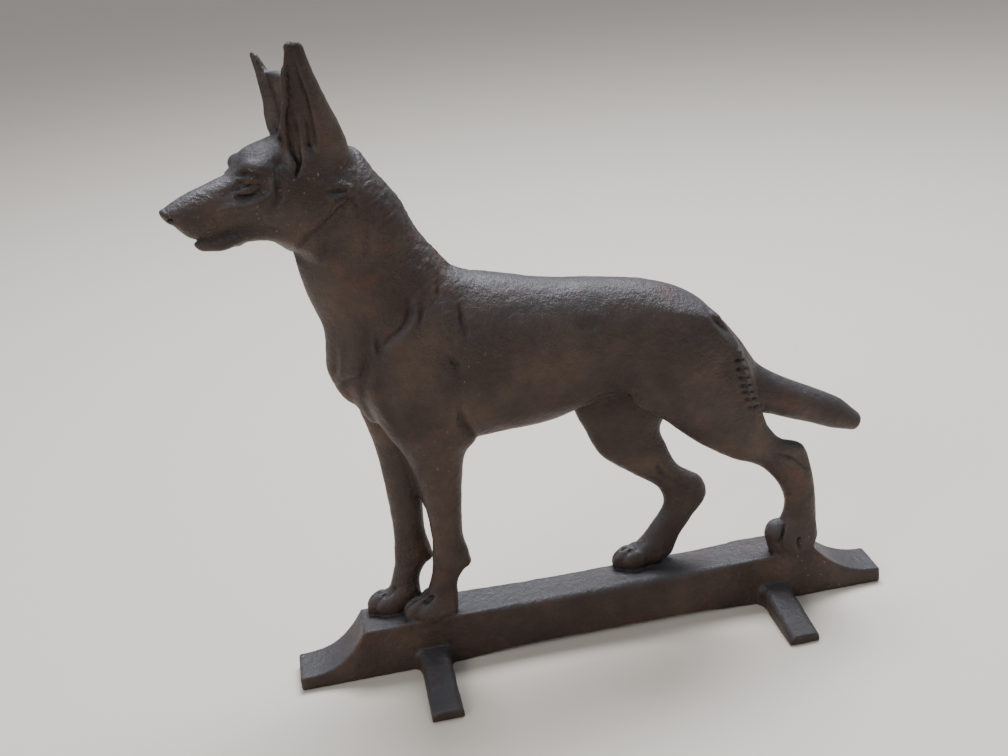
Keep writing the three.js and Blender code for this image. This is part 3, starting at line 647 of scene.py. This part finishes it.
def body_details(dog):
    both = (-1, 1)

    def fold(line, width, depth, sides=both):
        """A fold of the coat, half as deep on the far side, which is finished plainer."""
        for side in sides:
            dog.crease(line, width, depth * (1.15 if side < 0 else 0.5), (side,))

    fold([(-90.6, 230.1), (-90.8, 223.8), (-93.2, 218.1), (-97.7, 213.7), (-102.6, 211.2), (-106.6, 206.8),
          (-105.8, 202.8)], 1.9, 1.7)
    fold([(-86.8, 229), (-87.6, 221), (-90, 215.5)], 1.5, -0.7)
    fold([(-83.4, 226.9), (-85, 221), (-87.6, 216.2)], 1.4, 1.0)
    fold([(-109.2, 213.6), (-109.1, 207), (-107.8, 202.3)], 1.5, 1.2)
    fold([(-111.5, 216), (-112, 207), (-111.5, 200)], 1.3, -0.6)
    fold([(-113.3, 215), (-114.1, 207.4), (-116.1, 198.2), (-120, 185.8), (-119.2, 174.2), (-116, 162.7),
          (-112, 152)], 2.4, 1.7)
    fold([(-115, 187), (-113.6, 176), (-110, 166), (-105.5, 156)], 2.6, -1.0)
    fold([(-102, 276), (-107.1, 265.2), (-108.2, 260.4), (-111.8, 252)], 2.4, 0.8)
    fold([(-74.8, 235), (-75.2, 226)], 1.4, 0.9)
    fold([(-65.1, 225), (-64.4, 217.9), (-64.4, 212.7), (-63.2, 205)], 1.6, 1.4)
    fold([(-73.6, 198), (-70.7, 192.5), (-69.4, 186)], 1.9, 1.5)
    fold([(-127.6, 212), (-129, 199.4), (-131, 187)], 1.5, -0.9)
    fold([(-130.6, 207), (-132, 197), (-134, 187)], 1.2, 0.8)
    fold([(-133, 183), (-123.9, 189.2), (-117, 191)], 1.4, 1.0)
    fold([(-74.5, 252), (-70, 241.1), (-61, 234.5)], 2.0, 1.0)
    fold([(-80, 246.6), (-72.2, 230.2), (-67.4, 219.5), (-62.6, 210.8)], 3.2, 0.5)
    fold([(-111, 230), (-114, 216), (-117.7, 205)], 3, 0.6)
    fold([(69.5, 196.5), (73, 191.4), (76.1, 187.6), (82, 181)], 1.3, 1.7)
    fold([(68.5, 193.5), (74.3, 184.5), (81.7, 175.5)], 1.7, -0.9)
    fold([(-3, 150.5), (4.7, 156.5), (11.3, 157.4), (23, 154.6), (32.5, 147)], 1.8, 1.3, (-1,))
    fold([(0, 156), (7, 161), (14, 160.5), (24, 157.6), (34, 150)], 2.4, -0.8, (-1,))
    fold([(76, 172), (80, 158), (84, 144)], 3, 0.6)
    for side in both:
        dog.egg((28.9, side * 17, 165), (7, 3.6, 6), 0.5, 0, 3)
        dog.egg((2.2, side * 22.2, 202.9), (6, 1.8, 3.6), 0, 0, 2.5, cut=True)
        dog.egg((57, side * 22.5, 187), (6, 1.6, 4), 0, 0, 2.5, cut=True)
        shift = 0 if side < 0 else -20
        pocket = [(-71.5 + shift, 167), (-70.6 + shift, 157), (-67 + shift, 149), (-63 + shift, 144)]
        fold(pocket, 2.2, 2.0, (side,))
        fold([(x + 4.2, z + 1) for x, z in pocket[:3]], 1.8, -1.0, (side,))
        foreleg_details(dog, side)
    dog.cord([(86.4, -16.8, 171), (87.6, -17.6, 160), (89.8, -17.6, 150), (92.8, -17.2, 140),
              (95.6, -16.2, 130)], [1.4, 2.6, 2.6, 2.4, 1.2], 2)
    notches = ((86.4, 165.5), (86.8, 160.5), (88, 155.3), (89.2, 150.4), (90.6, 146),
               (92.4, 141.4), (94, 136))
    for x, z in notches:
        fold([(x - 3.6, z + 1.4), (x + 5, z - 1.2)], 1.1, 1.5, (-1,))
    dog.egg((-44.2, -5.4, 231.6), (0.9, 0.9, 0.9), 0, 0, 0.4, cut=True)
    dog.cord([(-94, 0, 99), (-94.4, 0, 108), (-95.4, 0, 120), (-97, 0, 136)], [0.8, 2.6, 3.6, 4.6], 3.5)
    dog.egg((-97.5, 1, 38), (6, 5, 7), 0, 0, 3)
    dog.cord([(107.5, -14.6, 102.8), (115.1, -14, 99.8), (121.5, -13.6, 95.1), (125.1, -13.3, 91.1),
              (129.6, -12, 87.2)], [0.8, 1.3, 1.3, 1.2, 0.8], 1.2, cut=True)
    dog.cord([(108.5, -13.2, 98.6), (117.8, -12.6, 95), (124, -12, 89)], [1, 1.9, 1.5], 1.6)
    dog.cord([(43, 0.9, 98), (48, 0, 91), (54, 0, 86), (60.8, 0.4, 80.6)], [1, 1.8, 1.6, 1], 1.8, cut=True)


def foreleg_details(dog, side):
    """The carpal pad: a bulge behind the wrist that ends in a sharp step."""
    shift = 0 if side < 0 else STRIDE
    y = side * LEG
    dog.cord([(-79 + shift, y, 80), (-77.2 + shift, y, 70), (-76.4 + shift, y, 64.5)], [2.6, 3.6, 3.9], 2)
    dog.cord([(-72 + shift, y, 58.2), (-80 + shift, y, 57.6)], [2.6, 1.6], 0.8, cut=True)


def fur_share(x, z):
    """1 on the ruff, nape and withers, where the coat is rough, 0 on the smooth parts."""
    along = np.interp(z, [185, 215, 245, 300], [0.2, 0.75, 1, 0.9])
    nape = np.clip((x + 128 - (300 - z) * 0.35) / 14, 0, 1)
    back = np.clip((-30 - x) / 40, 0, 1)
    return along * nape * back * (z > 185) * (z < 304)


def roughen(points, faces):
    """Moves each point out or in a little: the sand mould's undulation and the coat's locks."""
    normal = np.zeros_like(points)
    a, b, c = (points[faces[:, i]] for i in range(3))
    n = np.cross(b - a, c - a)
    for i in range(3):
        np.add.at(normal, faces[:, i], n)
    normal /= np.maximum(np.linalg.norm(normal, axis=1), 1e-9)[:, None]
    coat = fur_share(points[:, 0], points[:, 2])
    push = np.zeros(len(points))
    for i, p in enumerate(points):
        v = Vector(p)
        push[i] = 0.22 * noise.noise(v / 9) + 0.13 * noise.noise(v / 3.2)
        if coat[i] > 0.02:
            lock = Vector((p[0] * 0.16 + p[2] * 0.10, p[1] * 0.2, p[2] * 0.42 - p[0] * 0.20))
            push[i] += coat[i] * (0.34 * noise.noise(lock) + 0.24 * noise.noise(lock * 2.3))
    out = points + normal * push[:, None]
    flat = points[:, 2] < 0.4
    out[flat] = points[flat]
    out[:, 2] = np.maximum(out[:, 2], 0)
    return out, faces


def to_object(points, faces, name):
    mesh = bpy.data.meshes.new(name)
    points = ((points + SHIFT) / 1000).astype(np.float32)
    mesh.vertices.add(len(points))
    mesh.vertices.foreach_set("co", points.ravel())
    mesh.loops.add(faces.size)
    mesh.loops.foreach_set("vertex_index", faces.ravel().astype(np.int32))
    mesh.polygons.add(len(faces))
    mesh.polygons.foreach_set("loop_start", np.arange(0, faces.size, 3, dtype=np.int32))
    mesh.update(calc_edges=True)
    mesh.validate()
    thing = bpy.data.objects.new(name, mesh)
    bpy.context.scene.collection.objects.link(thing)
    return thing


def thin(thing, target):
    count = len(thing.data.polygons)
    if count <= target:
        return
    step = thing.modifiers.new("thin", "DECIMATE")
    step.ratio = target / count
    bpy.context.view_layer.objects.active = thing
    with bpy.context.temp_override(object=thing, active_object=thing):
        bpy.ops.object.modifier_apply(modifier=step.name)


# ------------------------------------------------------------------ material

def iron():
    mat = bpy.data.materials.new("cast_iron_patina")
    mat.use_nodes = True
    nodes, links = mat.node_tree.nodes, mat.node_tree.links
    shader = nodes["Principled BSDF"]
    where = nodes.new("ShaderNodeTexCoord")

    def mottle(scale, detail, rough=0.5):
        n = nodes.new("ShaderNodeTexNoise")
        n.inputs["Scale"].default_value = scale
        n.inputs["Detail"].default_value = detail
        n.inputs["Roughness"].default_value = rough
        links.new(where.outputs["Object"], n.inputs["Vector"])
        return n.outputs["Fac"]

    def ramp(source, stops):
        r = nodes.new("ShaderNodeValToRGB")
        while len(r.color_ramp.elements) < len(stops):
            r.color_ramp.elements.new(0.5)
        for e, (at, col) in zip(r.color_ramp.elements, stops):
            e.position = at
            e.color = (*col, 1)
        links.new(source, r.inputs["Fac"])
        return r.outputs["Color"]

    def blend(amount, first, second):
        m = nodes.new("ShaderNodeMix")
        m.data_type = "RGBA"
        for slot, source in ((0, amount), (6, first), (7, second)):
            if isinstance(source, tuple):
                m.inputs[slot].default_value = (*source, 1)
            else:
                links.new(source, m.inputs[slot])
        return m.outputs[2]

    def maths(kind, first, second):
        m = nodes.new("ShaderNodeMath")
        m.operation = kind
        m.use_clamp = True
        for slot, source in ((0, first), (1, second)):
            if isinstance(source, float):
                m.inputs[slot].default_value = source
            else:
                links.new(source, m.inputs[slot])
        return m.outputs[0]

    shape = nodes.new("ShaderNodeNewGeometry")
    facing = nodes.new("ShaderNodeSeparateXYZ")
    links.new(shape.outputs["Normal"], facing.inputs[0])
    # Painted sheen: faces turned up are blended towards blue-grey, a painted reflection of the overhead
    # light on the dark metal.
    painted_sheen_mask = ramp(facing.outputs["Z"], [(0.1, (0, 0, 0)), (0.85, (1, 1, 1))])
    patina = ramp(mottle(26, 6, 0.6), [
        (0.3, (0.028, 0.017, 0.014)),
        (0.5, (0.052, 0.033, 0.026)),
        (0.72, (0.095, 0.060, 0.043)),
    ])
    # The mottled patina with the painted top sheen mixed in by how far each face turns up.
    patina_and_painted_sheen = blend(maths("MULTIPLY", painted_sheen_mask, 0.8), patina, (0.078, 0.078, 0.088))
    rust_spots = ramp(mottle(42, 8, 0.7), [(0.56, (0, 0, 0)), (0.7, (1, 1, 1))])
    rusty = blend(maths("MULTIPLY", rust_spots, 0.45), patina_and_painted_sheen, (0.13, 0.045, 0.028))
    pale_spots = ramp(mottle(520, 3, 0.5), [(0.66, (0, 0, 0)), (0.73, (1, 1, 1))])
    pale_places = ramp(mottle(11, 2, 0.5), [(0.56, (0, 0, 0)), (0.66, (0.5, 0.5, 0.5))])
    speckled = blend(maths("MULTIPLY", pale_spots, pale_places), rusty, (0.34, 0.31, 0.27))
    hollows = ramp(shape.outputs["Pointiness"], [(0.44, (1, 1, 1)), (0.5, (0, 0, 0))])
    colour = blend(maths("MULTIPLY", hollows, 0.75), speckled, (0.012, 0.009, 0.009))
    links.new(colour, shader.inputs["Base Color"])
    shader.inputs["Metallic"].default_value = 0.35
    gloss = ramp(mottle(60, 4), [(0.3, (0.4,) * 3), (0.7, (0.56,) * 3)])
    links.new(gloss, shader.inputs["Roughness"])
    coarse = nodes.new("ShaderNodeBump")
    coarse.inputs["Strength"].default_value = 0.8
    coarse.inputs["Distance"].default_value = 0.0012
    links.new(mottle(260, 4, 0.6), coarse.inputs["Height"])
    grain = nodes.new("ShaderNodeBump")
    grain.inputs["Strength"].default_value = 0.75
    grain.inputs["Distance"].default_value = 0.0006
    links.new(mottle(850, 4, 0.65), grain.inputs["Height"])
    links.new(coarse.outputs["Normal"], grain.inputs["Normal"])
    links.new(grain.outputs["Normal"], shader.inputs["Normal"])
    return mat


# ------------------------------------------------------------------ stage

def flat_material(name, colour, rough=0.6):
    mat = bpy.data.materials.new(name)
    mat.use_nodes = True
    shader = mat.node_tree.nodes["Principled BSDF"]
    shader.inputs["Base Color"].default_value = (*colour, 1)
    shader.inputs["Roughness"].default_value = rough
    return mat


def stage():
    bpy.ops.mesh.primitive_plane_add(size=12, location=(0, 0, 0))
    floor = bpy.context.object
    floor.name = "floor"
    floor.data.materials.append(flat_material("pale_floor", (0.74, 0.68, 0.6)))
    world = bpy.data.worlds.new("studio")
    bpy.context.scene.world = world
    world.use_nodes = True
    world.node_tree.nodes["Background"].inputs["Color"].default_value = (0.86, 0.88, 0.92, 1)
    world.node_tree.nodes["Background"].inputs["Strength"].default_value = 0.42

    def lamp(name, place, aim, size, power, colour=(1, 1, 1)):
        light = bpy.data.lights.new(name, "AREA")
        light.shape = "RECTANGLE"
        light.size, light.size_y = size
        light.energy = power
        light.color = colour
        thing = bpy.data.objects.new(name, light)
        thing.location = place
        thing.rotation_euler = (Vector(aim) - Vector(place)).to_track_quat("-Z", "Y").to_euler()
        bpy.context.scene.collection.objects.link(thing)

    lamp("overhead", (0.25, 0.55, 1.5), (0, 0, 0.2), (1.1, 0.7), 42, (0.93, 0.96, 1))
    lamp("front_fill", (-1.5, -1.1, 1.2), (0, 0, 0.2), (0.8, 0.8), 13, (1, 0.98, 0.95))


def camera():
    data = bpy.data.cameras.new("photo_camera")
    data.sensor_width = SENSOR
    data.lens = LENS
    data.clip_start = 0.01
    cam = bpy.data.objects.new("photo_camera", data)
    az, pitch, roll = (math.radians(angle) for angle in CAMERA_TURN)
    forward = Vector((-math.sin(az) * math.cos(pitch), math.cos(az) * math.cos(pitch), -math.sin(pitch)))
    right = forward.cross(Vector((0, 0, 1))).normalized()
    up = right.cross(forward)
    r = math.cos(roll) * right + math.sin(roll) * up
    u = -math.sin(roll) * right + math.cos(roll) * up
    turn = Matrix((r, u, -forward)).transposed().to_4x4()
    spot = (Vector(CAMERA_SPOT) + Vector(SHIFT)) / 1000
    cam.matrix_world = Matrix.Translation(spot) @ turn
    bpy.context.scene.collection.objects.link(cam)
    bpy.context.scene.camera = cam


dog = to_object(*roughen(*build_dog().mesh()), "dog_casting")
thin(dog, TRIANGLES)
dog.data.shade_smooth()
dog.data.materials.append(iron())
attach(dog, "root")
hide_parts("dog_statue")
stage()
camera()
